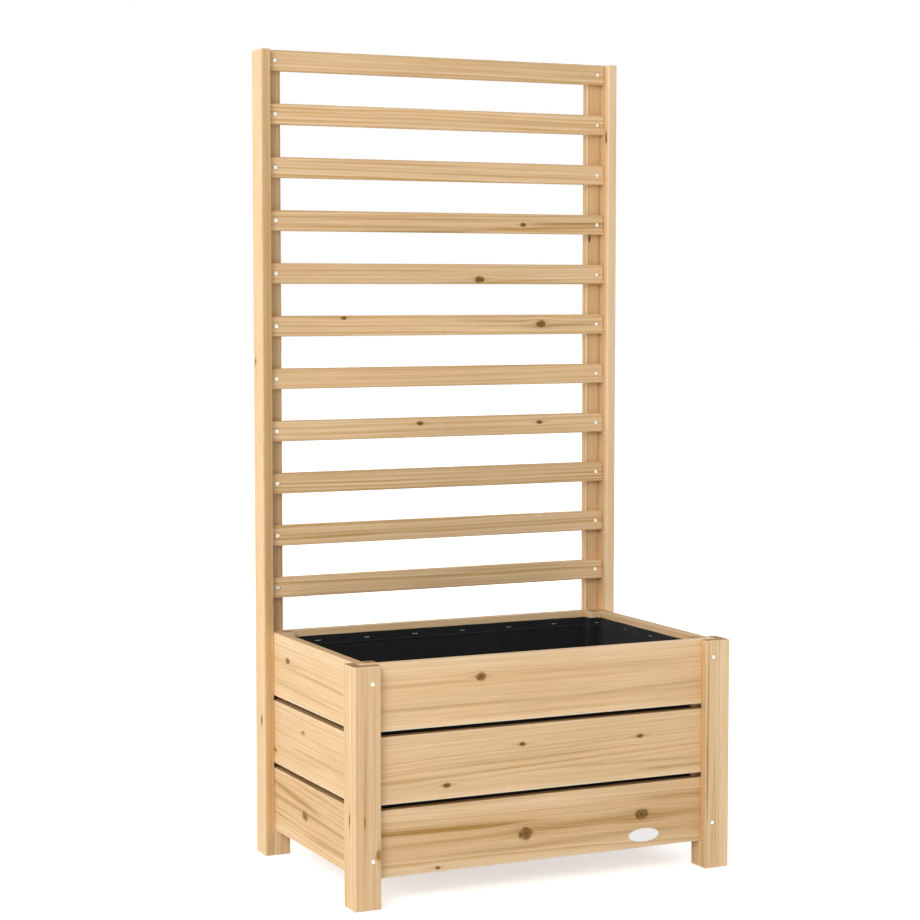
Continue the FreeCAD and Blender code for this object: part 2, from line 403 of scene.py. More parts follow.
def fir_group():
    """Planed fir cut from a log: growth lines, streaks, fibres, knots and end grain."""
    inputs = (
        "Vector: vector, Straight: vector, Nearest, Tail, Stain, Crushed, End Grain, Wear, Heart Across, "
        "Heart Depth, Heart Tilt, Ring Width, Line Strength, Band Strength, Waviness, Figure, Edge Strength, "
        "Rough Edge, Knot Depth, Knot Contrast, Seed, Tone, Early: colour, Late: colour, Brown: colour, "
        "Knot: colour, Bark: colour, Edge: colour"
    )
    bench, fed, finish = new_group("fir", inputs, "Color: colour, Shine, Height")
    seed = fed.seed
    shift = bench.join(seed, seed * 0.37, seed * 0.71)
    turned = bench.vectors("ADD", fed.vector, shift)
    straight = bench.vectors("ADD", fed.straight, shift)

    def grain(name, place=straight):
        lengthways, sideways, detail, roughness = FIR_NOISES[name]
        stretched = bench.vectors("MULTIPLY", place, (lengthways, sideways, sideways))
        return bench.noise(stretched, 1.0, detail, roughness)

    # Distance from the heart of the log, with its slow bends and small waves.
    along, across, through = bench.split(fed.vector)
    radius = bench.length(across - fed.heart_across - along * fed.heart_tilt, through - fed.heart_depth)
    radius = radius + (grain("bends", turned) - 0.5) * fed.waviness
    radius = (grain("waves", turned) - 0.5) * FIR_WAVE_HEIGHT + radius

    # Growth lines: a slow darkening and a sharp stop, each ring of its own strength.
    ring = bench.noise_along(radius * 55.0 + seed) * 1.4 + radius / fed.ring_width
    phase = bench.maths("FRACT", ring)
    line = bench.ramp(phase, 0.56, 0.9) * bench.ramp(phase, 0.9, 1.0, 1.0, 0.0)
    ring_seed = bench.maths("FLOOR", ring) + seed
    own_strength = bench.out("ShaderNodeTexWhiteNoise", {"W": ring_seed}, noise_dimensions="1D") ** 2.2
    line = line * (own_strength * 0.72 + 0.06)
    line = line * bench.ramp(grain("line fade", turned), 0.3, 0.68, 0.3, 1.0)

    # Browner bands that follow the rings and fade along the board, and the streaks that were asked for.
    band = bench.ramp(bench.noise_along(radius * 95.0 + seed), 0.54, 0.76)
    band = band * bench.ramp(grain("band fade"), 0.44, 0.66) * fed.band_strength
    threads = bench.ramp(bench.noise_along(radius * 420.0 + seed, 2.0), 0.34, 0.66, 0.25, 1.0)
    streak = bench.largest(fed.stain, 0.0) * (threads * 0.5 + 0.5)
    brown = bench.maths("MAXIMUM", band, streak, clamp=True)
    brown = bench.largest(brown, fed.tail * 0.6)

    # Fine straight lines of every width, which fade in and out along the board.
    fine = bench.noise_along(radius * 260.0 + seed * 1.7, 5.0)
    fine = bench.ramp(fine, 0.3, 0.7, -0.5, 0.5, "LINEAR")
    fine = fine * bench.ramp(grain("fine fade"), 0.3, 0.65, 0.35, 1.0)

    # Fibres, hair-thin streaks and slow changes of tone and hue. Darker wood is warmer.
    darker = fine * fed.figure + 0.24 + bench.maths("MINIMUM", fed.stain, 0.0)
    darker = bench.maths("ADD", darker, line, clamp=True)
    colour = bench.blend(darker * fed.line_strength, fed.early, fed.late)
    colour = bench.blend(brown * 0.92, colour, fed.brown)
    fibre = grain("fibre")
    light = (fibre - 0.5) * 0.16 + 1.0
    light = (grain("broad") - 0.5) * 0.22 + light
    light = (grain("hair") - 0.5) * 0.2 + light
    colour = bench.times_all(colour, light, light**1.35, light**2.0)
    colour = bench.times_all(colour, fed.tone)
    tint = bench.blend(bench.ramp(grain("hue"), 0.35, 0.65), *FIR_HUES)
    colour = bench.blend(1.0, colour, tint, "MULTIPLY")

    # Knots: a warm halo, rings inside and a dark rim.
    near = fed.nearest
    colour = bench.blend(bench.ramp(near, 0.9, 1.8, 0.42, 0.0), colour, fed.brown)
    turn = bench.noise(straight, 110.0, 2.0) * 5.0 + near * 10.0
    rings = bench.ramp(bench.maths("SINE", turn), -1.0, 1.0)
    heart = bench.ramp(near, 0.15, 0.55, 1.0, 0.0)
    mottle = bench.ramp(bench.noise(straight, 380.0, 2.0), 0.46, 0.66)
    dark = bench.largest(rings * 0.6, heart, mottle * 0.85) * fed.knot_contrast
    wood = bench.blend(bench.largest(dark, fed.knot_depth), fed.knot, fed.bark)
    inside = bench.ramp(near, 0.7, 1.25, 0.92, 0.0)
    colour = bench.blend(inside, colour, wood)
    rim = bench.ramp(near, 0.62, 0.92) * bench.ramp(near, 0.95, 1.35, 1.0, 0.0)
    broken_rim = bench.ramp(bench.noise(straight, 90.0, 1.0), 0.4, 0.6, 0.15, 0.75)
    colour = bench.blend(rim * broken_rim, colour, fed.bark)
    # Painted shade round each screw head.
    colour = bench.blend(fed.crushed * 0.45, colour, fed.bark)

    # Sawn ends are darker, the narrow faces in the gaps between boards take painted shade, and the arrises
    # take the edge colour: a painted highlight, or painted shade on the slats.
    sawn = bench.blend(line * 0.8, SAWN_END, SAWN_LINES)
    colour = bench.blend(fed.end_grain, colour, bench.blend(1.0, colour, sawn, "MULTIPLY"))
    colour = bench.blend(fed.rough_edge, colour, bench.blend(1.0, colour, GAP_SHADE_TINT, "MULTIPLY"))
    on_face = bench.maths("SUBTRACT", fed.edge_strength, fed.end_grain, clamp=True)
    colour = bench.blend(fed.wear * on_face, colour, fed.edge)

    shine = fibre * 0.12 + line * -0.1 + fed.end_grain * 0.2 + inside * -0.12
    height = line * 0.45 + fibre * 0.5 + inside * 0.5 + rim * -0.7
    finish(colour, shine, height)


# How a board lies: which axes run along the grain, across the board and through it.
LAID_WIDE, LAID_DEEP, FLAT_DEEP = "XZY", "YZX", "YXZ"
UPRIGHT_FRONT, UPRIGHT_SIDE = "ZXY", "ZYX"

# What the photographed boards show. Places are millimetres in the model's own frame:
# first along the grain, then across the board.
# Knots: along, across, radius, stretch along the grain.
KNOTS = {
    "front_board_top": [(-114.2, 352.8, 5.8, 1.1)],
    "front_board_middle": [(-174.6, 182.4, 3.2, 1.7), (-40.4, 237, 3, 1.7), (178.2, 232.2, 3, 1.7)],
    "front_board_bottom": [(-33.2, 90, 8.8, 1.2), (182, 100.7, 8.2, 1.3), (-190.5, 50.9, 2.4, 1.5)],
    "left_board_top": [(111, 345.6, 3.9, 1.8)],
    "left_board_middle": [(41.4, 235.4, 3, 1.9), (170.9, 183.9, 3.2, 1.6)],
    "left_board_bottom": [(34.7, 97, 6.6, 1.6)],
    "rear_left_post_wide": [(233, 191, 3.4, 2.2), (846, 209, 2.6, 2)],
    "front_left_leg_wide": [(86.3, -298, 5, 1.3), (141, -323, 1.3, 6)],
    "front_left_leg_narrow": [(141, -199, 2.7, 3.2)],
    "rear_right_post_wide": [(1060, 300.5, 2.2, 3)],
    "rear_right_post_narrow": [(1241, 183, 3, 3)],
    "trellis_slat_04": [(158.9, 1083, 3, 1.7)],
    "trellis_slat_05": [(73, 985.6, 4.6, 1.5)],
    "trellis_slat_06": [(195, 907.2, 5.2, 1.4), (-186.3, 919.3, 2.8, 1.7)],
    "trellis_slat_08": [(-42, 734.6, 3, 1.8), (193, 731, 2.9, 1.8)],
    "right_board_middle": [(-60, 226, 5.4, 1.2)],
    "right_board_bottom": [(95, 86, 4.4, 1.3)],
    "rear_board_top": [(150, 322, 6, 1.1)],
    "rear_board_middle": [(-130, 196, 5, 1.2), (210, 240, 3, 1.6)],
    "rear_board_bottom": [(40, 112, 6.6, 1.1)],
    "floor_slat_2": [(-40, -150, 5, 1.2)],
    "floor_slat_5": [(70, 150, 6, 1.1)],
}
# Boards whose knots are still warm and pale.
PALE_KNOTS = ("front_left_leg_wide", "left_board_middle")
# Streaks: along, across, half length, half height, slope, strength; below 0 the wood is paler.
STAINS = {
    "front_board_top": [
        (-215, 347, 110, 3, 0.01, 0.45), (95, 352, 150, 2.6, 0, 0.4), (-170, 309, 165, 3.4, 0, 0.45),
        (190, 313, 150, 2.6, 0.03, 0.6), (210, 305, 130, 2, 0.03, 0.4), (40, 290, 210, 2.4, 0, 0.3),
        # The last streak is a painted highlight along the lower arris.
        (0, 374, 340, 10, 0, -0.4), (0, 281, 340, 4, 0, -0.4),
    ],
    "front_board_middle": [
        (-230, 196, 90, 3, 0.02, 0.45), (170, 190, 150, 2.6, -0.02, 0.55), (250, 176, 70, 2.6, 0, 0.75),
        # The last streak is a painted highlight along the lower arris.
        (-60, 215, 150, 2, 0, 0.35), (0, 165, 340, 4, 0, -0.4),
    ],
    "front_board_bottom": [
        (-190, 112, 165, 5.4, -0.02, 0.95), (-170, 110, 130, 2.2, -0.02, 0.8), (0, 96, 420, 46, 0, 0.13),
        (-130, 92, 180, 2.8, 0, 0.6), (130, 97, 190, 7, 0, 0.75), (60, 71, 260, 5, 0.01, 0.5),
        (250, 126, 70, 5, 0, 0.6), (-100, 139, 260, 9, 0, -0.35), (0, 52, 340, 8, 0, -0.35),
    ],
    "left_board_bottom": [
        (85, 121, 115, 5.4, 0.09, 1), (110, 106, 90, 2.6, 0.06, 0.6), (-90, 66, 110, 4.6, 0, 0.6),
        (0, 96, 300, 46, 0, 0.12), (0, 56, 240, 8, 0, -0.3),
    ],
    "left_board_middle": [(-80, 200, 130, 3.4, 0, 0.5), (60, 190, 120, 3, 0, 0.4)],
    "left_board_top": [
        (-40, 330, 170, 3.2, 0.03, 0.5), (40, 300, 150, 3.6, 0.03, 0.45), (0, 374, 240, 9, 0, -0.35),
    ],
    "trellis_slat_02": [(0, 1262, 300, 2.4, 0, 0.45)],
    "trellis_slat_03": [(-120, 1184, 160, 2, 0, 0.4), (160, 1168, 150, 2, 0, 0.4)],
    "trellis_slat_04": [
        (260, 1085.5, 85, 2.6, 0.015, 1.4), (230, 1078, 120, 2.4, 0.02, 0.9), (-40, 1090, 220, 3, 0, 0.6),
        (-60, 1076, 260, 2.6, 0, 0.6),
    ],
    "trellis_slat_05": [(120, 982, 120, 2.4, 0.02, 0.6), (-150, 1001, 160, 2.4, 0, 0.4)],
    "trellis_slat_06": [(235, 905, 80, 3, 0.02, 0.9), (130, 912, 90, 2.2, -0.02, 0.6)],
    "trellis_slat_07": [(0, 833, 300, 2.2, 0, 0.4)],
    "trellis_slat_08": [(60, 745, 260, 2, 0, 0.4), (-40, 722, 240, 2, 0, 0.35)],
    "trellis_slat_09": [(-40, 655, 260, 2.6, 0, 0.5)],
    "rear_left_post_wide": [(700, 175, 900, 2, 0, 0.75)],
    # The first streak is painted shade on the inner face.
    "rear_right_post_narrow": [(877, 194, 900, 11, 0, 0.55), (877, 175, 900, 4, 0, -0.4)],
    "front_right_leg_wide": [(192, -214, 300, 12, 0, -0.4)],
    "front_right_leg_narrow": [
        # The first streak is painted shade along the leg's left edge.
        (192, 294.5, 400, 3, 0, 0.55), (260, 299.4, 130, 1.6, 0.008, 1), (150, 299, 60, 2, 0, 0.8),
        (115, 314, 90, 1.6, -0.02, 0.5), (95, 309.5, 80, 1.5, 0.01, 0.5),
    ],
    "front_left_leg_wide": [(200, -322, 120, 1.6, 0, 0.6), (160, -306, 200, 1.2, 0, 0.35)],
}
# Growth lines of the boards that show most: heart of the log across and behind the face (mm),
# its tilt, ring width (mm), line strength, band strength, waviness (mm) and tone.
CUTS = {
    "front_board_top": (-115, 60, 0, 6.4, 0.78, 0.3, 6, 1.03),
    "front_board_middle": (-46, 46, 0.03, 5.6, 0.85, 0.3, 11, 0.98),
    "front_board_bottom": (-100, 60, -0.02, 6.8, 1, 0.8, 8, 0.97),
    "left_board_top": (-110, -60, 0.01, 6.2, 0.75, 0.25, 6, 0.995),
    "left_board_middle": (-80, -70, 0.02, 6, 0.72, 0.25, 7, 0.99),
    "left_board_bottom": (-100, -55, 0.03, 6.6, 1, 0.8, 8, 0.97),
    "rear_left_post_wide": (-80, 60, 0, 6, 0.5, 0.3, 6, 1.01),
    "rear_left_post_narrow": (-80, 60, 0, 6, 0.7, 0.4, 6, 0.81),
    # A low tone that is painted shade from the slats and the corner.
    "rear_right_post_wide": (70, 50, 0, 5.6, 1, 0.7, 6, 0.87),
    "rear_right_post_narrow": (-80, 60, 0, 7, 0.4, 0.1, 5, 1.01),
    "front_left_leg_wide": (-75, 60, 0, 6.4, 0.62, 0.2, 5, 0.99),
    "front_right_leg_narrow": (-70, 60, 0, 6.4, 0.62, 0.2, 5, 1.02),
    "front_right_leg_wide": (-60, 70, 0, 7, 0.6, 0.2, 5, 1.06),
    "trellis_slat_04": (-60, 40, 0.01, 5.6, 1, 0.9, 9, 0.97),
    "trellis_slat_05": (70, -50, 0, 6, 0.9, 0.6, 7, 0.965),
    "trellis_slat_08": (60, 45, 0.01, 5.8, 0.8, 0.5, 7, 1.01),
    # A low tone that is painted shade; the lowest slats are darker.
    "trellis_slat_09": (-90, -50, 0, 6.6, 0.9, 0.7, 6, 0.94),
}


def cut_of(name):
    """The way this piece was sawn from its log, the same on every run."""
    if name in CUTS:
        return CUTS[name]
    dice = random.Random("sawn " + name)
    return (
        dice.choice((-1.0, 1.0)) * dice.uniform(45.0, 120.0),
        dice.choice((-1.0, 1.0)) * dice.uniform(30.0, 90.0),
        dice.uniform(-0.015, 0.015),
        dice.uniform(5.2, 7.6),
        dice.uniform(0.7, 1.0),
        dice.uniform(0.3, 0.75),
        dice.uniform(4.0, 9.0),
        dice.uniform(0.97, 1.015),
    )


def screw_seats(name, centre, lie):
    """Where screw heads bear on this piece: places along the grain and across it, from its middle."""
    low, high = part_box("frame_screws")
    column = high.x - SCREW_HEAD_R
    if name.startswith("trellis_slat"):
        return [(-column, 0.0), (column, 0.0)]
    if not name.startswith(("front_", "rear_")) or lie != UPRIGHT_FRONT:
        return []
    across = math.copysign(column, centre.x) - centre.x
    return [(z - centre.z, across) for z in (low.z + SCREW_HEAD_R, high.z - SCREW_HEAD_R)]


KNOT_BEND = 0.7  # how far the grain turns round a knot
SMALL_KNOT = 4.5  # a board whose knots all have a smaller radius (mm) has dark ones


def saw_fir(name, lie, figure=0.45, edge_strength=0.3, shaded_arrises=False, edge_face_shading=(0.0, 0.0)):
    """Gives one wooden CAD piece its own fir, with the grain along the first axis of lie.

    figure is how strongly the grain shows. The arrises take a painted highlight, or painted shade on the
    slats.
    The last argument is how strongly painted shade darkens the lower and the upper narrow face, in the
    gaps between boards; such boards take the painted highlight along their lower arrises most.
    """
    settings = bpy.context.scene.planter_wood
    low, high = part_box(name)
    centre, half = (low + high) / 2, (high - low) / 2
    order = ["XYZ".index(letter) for letter in lie]
    material, bench, shader = new_material("fir_" + name)

    parts = bench.split(bench.out("ShaderNodeMapping", {0: bench.spot(), 1: tuple(-centre)}))
    board = bench.join(*(parts[i] for i in order))
    normal = bench.split(bench.out("ShaderNodeNewGeometry", pick="True Normal"))
    end_grain = bench.ramp(bench.maths("ABSOLUTE", normal[order[0]]), 0.75, 0.95)
    face_shade = 0.0
    # Painted shade on the narrow faces in the gaps between boards, and a stronger painted highlight on the
    # lower arris.
    if any(edge_face_shading):
        edge_strength = bench.ramp(parts[order[1]], -0.01, 0.01, edge_strength, edge_strength * 0.3)
        face_shade = bench.ramp(normal[order[1]], -0.95, -0.75, edge_face_shading[0], 0.0)
        face_shade = face_shade + bench.ramp(normal[order[1]], 0.75, 0.95, 0.0, edge_face_shading[1])

    def laid(along, across):
        """A place in the model's frame (mm) as one on this board, from its middle."""
        return {"along": along * MM - centre[order[0]], "across": across * MM - centre[order[1]]}

    knots = KNOTS.get(name, ())
    flow = {"vector": board, "nearest": 9.0, "tail": 0.0}
    for along, across, radius, stretch in knots:
        shape = {"radius": radius * MM, "stretch": stretch, "bend": KNOT_BEND}
        flow = place_group(bench, "knot_flow", **flow, **laid(along, across), **shape)
    amount = {"amount": 0.0}
    for along, across, reach, tall, slope, strength in STAINS.get(name, ()):
        shape = {"length": reach * MM, "height": tall * MM, "slope": slope, "strength": strength}
        feeds = {"vector": flow["vector"], **amount, **laid(along, across), **shape}
        amount = place_group(bench, "stain_patch", **feeds)
    # Painted shade round the screw heads.
    crushed = {"mask": 0.0}
    for along, across in screw_seats(name, centre, lie):
        feeds = {"vector": board, **crushed, "along": along, "across": across, "radius": SCREW_HEAD_R}
        crushed = place_group(bench, "screw_seat", **feeds)
    # Mask of the painted highlight along the arrises, and of the painted shade on the slats' arrises.
    feeds = {"vector": board, "half_size": [half[i] for i in order], "width": settings.arris_light_width}
    wear = place_group(bench, "edge_wear", **feeds)

    pale = name in PALE_KNOTS
    heart_across, heart_depth, tilt, ring, lines, bands, waves, tone = cut_of(name)
    fir = place_group(
        bench,
        "fir",
        **flow,
        straight=board,
        stain=amount["amount"],
        crushed=crushed["mask"],
        end_grain=end_grain,
        wear=wear["mask"],
        heart_across=heart_across * MM,
        heart_depth=heart_depth * MM,
        heart_tilt=tilt,
        ring_width=ring * MM,
        line_strength=lines * settings.line_strength,
        band_strength=bands,
        waviness=waves * MM,
        figure=figure,
        edge_strength=edge_strength,
        rough_edge=face_shade,
        knot_depth=0.55 if all(knot[2] < SMALL_KNOT for knot in knots) else 0.18,
        knot_contrast=0.45 if pale else 1.0,
        seed=random.Random("grain " + name).uniform(1.0, 40.0),
        tone=tone,
        early=settings.early,
        late=settings.late,
        brown=settings.brown,
        knot=settings.knot,
        bark=settings.brown if pale else settings.bark,
        # The arris colour: painted shade on the slats, a painted highlight elsewhere.
        edge=settings.brown if shaded_arrises else settings.arris_highlight,
    )
    looks = {
        "Base Color": fir["color"],
        "Roughness": bench.maths("ADD", fir["shine"], settings.roughness, clamp=True),
        "Specular IOR Level": 0.35,
        "Normal": bench.bump(0.5, settings.relief, fir["height"]),
    }
    bench.wire(shader, looks)
    dress(NODES[name], material)


# ---------------------------------------------------------------------------
# Pieces that repeat: small parts set on points by Geometry Nodes
# ---------------------------------------------------------------------------


def fixings_tree():
    """Puts a small part on each point: its Z along "heading", its X along "run"."""
    inputs = "Places: shape, Part: object, Twist, Twist Seed: whole, Finish: finish"
    bench, fed, finish = new_group("fixings_on_points", inputs, "Fixings: shape", "GeometryNodeTree")
    named_vector = "GeometryNodeInputNamedAttribute"
    heading = bench.out(named_vector, {"Name": "heading"}, data_type="FLOAT_VECTOR")
    run = bench.out(named_vector, {"Name": "run"}, data_type="FLOAT_VECTOR")
    aim = "FunctionNodeAlignRotationToVector"
    turn = bench.out(aim, {"Vector": heading}, axis="Z")
    turn = bench.out(aim, {"Rotation": turn, "Vector": run}, axis="X", pivot_axis="Z")
    limits = {2: 0.0, 3: fed.twist, "Seed": fed.twist_seed}
    angle = bench.out("FunctionNodeRandomValue", limits, 1, data_type="FLOAT")
    spin = bench.out("FunctionNodeAxisAngleToRotation", {"Axis": (0.0, 0.0, 1.0), "Angle": angle})
    turn = bench.out("FunctionNodeRotateRotation", {0: turn, 1: spin}, rotation_space="LOCAL")
    part = bench.out("GeometryNodeObjectInfo", {"Object": fed.part, "As Instance": True}, "Geometry")
    feeds = {"Points": fed.places, "Instance": part, "Rotation": turn}
    placed = bench.out("GeometryNodeInstanceOnPoints", feeds)
    real = bench.out("GeometryNodeRealizeInstances", {0: placed})
    finish(bench.out("GeometryNodeSetMaterial", {"Geometry": real, "Material": fed.finish}))


def new_piece(name, mesh):
    piece = bpy.data.objects.new(name, mesh)
    bpy.context.scene.collection.objects.link(piece)
    return piece


def mesh_of(name, bm, sharp=None):
    """A mesh from a bmesh, its faces turned outwards; smooth up to the angle sharp (degrees) if given."""
    bmesh.ops.recalc_face_normals(bm, faces=bm.faces)
    mesh = bpy.data.meshes.new(name)
    bm.to_mesh(mesh)
    bm.free()
    if sharp is not None:
        mesh.shade_smooth()
        mesh.set_sharp_from_angle(angle=math.radians(sharp))
    return mesh


def settle(piece):
    """Turns what the modifiers make into the piece's own plain mesh, and drops them."""
    graph = bpy.context.evaluated_depsgraph_get()
    mesh = bpy.data.meshes.new_from_object(piece.evaluated_get(graph), depsgraph=graph)
    piece.modifiers.clear()
    piece.data = mesh
    mesh.name = piece.name


def set_on_points(name, places, part_mesh, finish, twist=0.0, twist_seed=1):
    """A piece made of one small part on each (point, heading, run)."""
    mesh = bpy.data.meshes.new(name)
    mesh.from_pydata([tuple(place[0]) for place in places], [], [])
    for title, index in (("heading", 1), ("run", 2)):
        attribute = mesh.attributes.new(title, "FLOAT_VECTOR", "POINT")
        attribute.data.foreach_set("vector", [x for place in places for x in place[index]])
    piece = new_piece(name, mesh)
    part = new_piece(name + "_part", part_mesh)
    modifier = piece.modifiers.new("fixings", "NODES")
    modifier.node_group = bpy.data.node_groups["fixings_on_points"]
    values = {"Part": part, "Twist": twist, "Twist Seed": twist_seed, "Finish": finish}
    for item in modifier.node_group.interface.items_tree:
        if item.in_out == "INPUT" and item.name in values:
            modifier[item.identifier] = values[item.name]
    settle(piece)
    for title in ("heading", "run"):
        if title in piece.data.attributes:
            piece.data.attributes.remove(piece.data.attributes[title])
    bpy.data.objects.remove(part)
    return piece


def own(piece, stands_for=()):
    """Hands a finished piece over to the frame."""
    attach(piece, "root")
    if stands_for:
        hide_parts(*stands_for)


# ---------------------------------------------------------------------------
# Screws
# ---------------------------------------------------------------------------

SCREW_SUNK = 0.3 * MM  # head below the face of the wood
SCREW_HEAD_R = 3.7 * MM
SCREW_CORE_R = 1.5 * MM
SCREW_NECK_R = 1.9 * MM
SCREW_NECK = 7.0 * MM  # plain neck under the head
SCREW_TIP = 4.0 * MM
SCREW_TIP_R = 0.25 * MM
FRAME_SCREW_LENGTH = 29.0 * MM
HEAD_SEGMENTS = 32
# The cross: share of its reach and share of its depth, from its mouth to its bottom.
RECESS_LEVELS = (1.0, 0.0), (0.82, 0.55), (0.45, 1.0)
THREAD_STEPS = 12  # in one turn
THREAD_ROOT = 0.08 * MM  # foot of the thread inside the core
THREAD_STOP = 1.6 * MM  # from the end of the thread to the point
THREAD_FADE = 1.2 * MM  # length over which the thread runs out


def ring_of(bm, count, place):
    """A loop of count points, each where place puts it, given the cosine and the sine of its angle."""
    angles = [2 * math.pi * i / count for i in range(count)]
    return [bm.verts.new(place(math.cos(angle), math.sin(angle))) for angle in angles]


def skin(bm, loops, caps=()):
    """Quads between loops of the same number of points, and a face on each loop that caps counts."""
    for low, high in zip(loops, loops[1:]):
        for i in range(len(low)):
            j = (i + 1) % len(low)
            bm.faces.new((low[i], low[j], high[j], high[i]))
    for k in caps:
        bm.faces.new(loops[k])


def edges_round(loop):
    """The edges between neighbours of a loop of points."""
    found = []
    for i in range(len(loop)):
        pair = {loop[i], loop[(i + 1) % len(loop)]}
        found += [edge for edge in loop[i].link_edges if set(edge.verts) == pair]
    return found


def screw_mesh(name, length, settings):
    """Countersunk wood screw along +Z, the face of the wood at Z = 0."""
    bm = bmesh.new()
    rim = SCREW_HEAD_R - 0.05 * MM
    levels = (
        (rim - 0.28 * MM, SCREW_SUNK),
        (rim - 0.08 * MM, SCREW_SUNK + 0.06 * MM),
        (rim, SCREW_SUNK + 0.2 * MM),
        (SCREW_NECK_R, SCREW_SUNK + SCREW_HEAD_R - SCREW_NECK_R),
        (SCREW_NECK_R, SCREW_NECK - 0.4 * MM),
        (SCREW_CORE_R, SCREW_NECK),
        (SCREW_CORE_R, length - SCREW_TIP),
        (SCREW_TIP_R, length),
    )
    body = [ring_of(bm, HEAD_SEGMENTS, lambda c, s: (r * c, r * s, z)) for r, z in levels]
    skin(bm, body, [-1])

    # Cross recess: loops of the same cross, each smaller and deeper.
    crosses = []
    for shrink, depth in RECESS_LEVELS:
        side = settings.recess_width / 2 * (0.6 + 0.4 * shrink)
        arm = max(settings.recess_reach * shrink, side * 1.05)
        corners = [(side, arm), (side, side), (arm, side), (arm, -side), (side, -side), (side, -arm)]
        corners += [(-x, -y) for x, y in corners]
        z = SCREW_SUNK + settings.recess_depth * depth
        crosses.append([bm.verts.new((x, y, z)) for x, y in corners])
    skin(bm, crosses, [-1])
    bmesh.ops.triangle_fill(bm, use_beauty=True, edges=edges_round(body[0]) + edges_round(crosses[0]))

    # Thread: a ridge with three points at each step, thin at both ends.
    pitch, end = settings.thread_pitch, length - THREAD_STOP
    ridge, steps, z = [], 0, SCREW_NECK
    while z < end:
        angle = 2 * math.pi * steps / THREAD_STEPS
        into_tip = max(0.0, (z - (length - SCREW_TIP)) / SCREW_TIP)
        core = SCREW_CORE_R + (SCREW_TIP_R - SCREW_CORE_R) * into_tip - THREAD_ROOT
        tall = max(0.05, min(1.0, steps / THREAD_STEPS, max(0.0, (end - z) / THREAD_FADE)))
        crest = core + THREAD_ROOT + settings.thread_height * tall * (1.0 - 0.5 * into_tip)
        place = []
        for radius, dz in ((core, -0.3), (crest, 0.0), (core, 0.3)):
            x, y = radius * math.cos(angle), radius * math.sin(angle)
            place.append(bm.verts.new((x, y, z + dz * pitch)))
        ridge.append(place)
        steps += 1
        z += pitch / THREAD_STEPS
    skin(bm, ridge, [0, -1])
    return mesh_of(name, bm, sharp=32)


def steel_material(settings):
    material, bench, shader = new_material("bright_zinc")
    cloud = bench.noise(bench.spot(), 900.0, 3.0)
    looks = {
        "Base Color": bench.blend(bench.ramp(cloud, 0.35, 0.7), settings.steel, paint("E4E0D4")),
        "Roughness": bench.ramp(cloud, 0.3, 0.7, 0.3, 0.46),
        "Metallic": 0.85,
        "Normal": bench.bump(0.25, 0.03 * MM, cloud),
    }
    bench.wire(shader, looks)
    return material


# ---------------------------------------------------------------------------
# Cloth liner
# ---------------------------------------------------------------------------

LINER_PLAY = 0.15 * MM  # kept free inside the liner's CAD box
BATTEN_PLAY = 0.45 * MM  # kept free beside the corner battens
TUCK_R, ARRIS_R = 8.0 * MM, 4.0 * MM  # corners of the outline that turn one way and the other
OUTLINE_STEP = 6.5 * MM
ARC_STEPS = 6
FOLD_WAVES = (0.21, 1.0), (0.117, 0.6), (0.071, 0.34)  # span in metres, share of the fold depth
PLEAT_HEIGHT, PLEAT_LEAN = 2.6 * MM, 0.014
SCALLOP = 1.5 * MM  # how far the top edge hangs in between two staples
FOOT_R = 11.0 * MM  # rounding between the walls and the bottom
WALL_ROWS, FOOT_ROWS, FLOOR_ROWS = 26, 5, 22
LUMP_COUNT, LUMP_HEIGHT = 26, 1.7 * MM
FLOOR_CUT = 3.0  # where the bottom lies in the flat cut, clear of the walls
PUCKER, PUCKER_SPAN = 0.35 * MM, 0.0137
SEAM_RISE = 3.0 * MM  # seam above the lower edge of the hem
HEM_LAYER = 0.8 * MM  # from the face of the wall to the face of the hem


def turn_at(corners, i):
    """The corners before, at and after i, and the radius of the outline there."""
    before, here, after = (corners[(i + k) % len(corners)] for k in (-1, 0, 1))
    run, on = here - before, after - here
    return before, here, after, TUCK_R if run.x * on.y - run.y * on.x > 0 else ARRIS_R


def soft_outline(corners):
    """The outline with soft corners, and points no further apart than OUTLINE_STEP."""
    points = []
    for i in range(len(corners)):
        before, here, after, radius = turn_at(corners, i)
        back, on = (before - here).normalized(), (after - here).normalized()
        heart = here + (back + on) * radius
        for k in range(ARC_STEPS + 1):
            angle = math.pi / 2 * k / ARC_STEPS
            points.append(heart - on * radius * math.cos(angle) - back * radius * math.sin(angle))
        end, stop = here + on * radius, after - on * turn_at(corners, i + 1)[3]
        pieces = max(1, math.ceil((stop - end).length / OUTLINE_STEP))
        points += [end + (stop - end) * k / pieces for k in range(1, pieces)]
    return points


def lengths_of(track):
    """Length along a closed track to each of its points, and all the way round."""
    lengths = [0.0]
    for here, after in zip(track, track[1:] + track[:1]):
        lengths.append(lengths[-1] + (after - here).length)
    return lengths


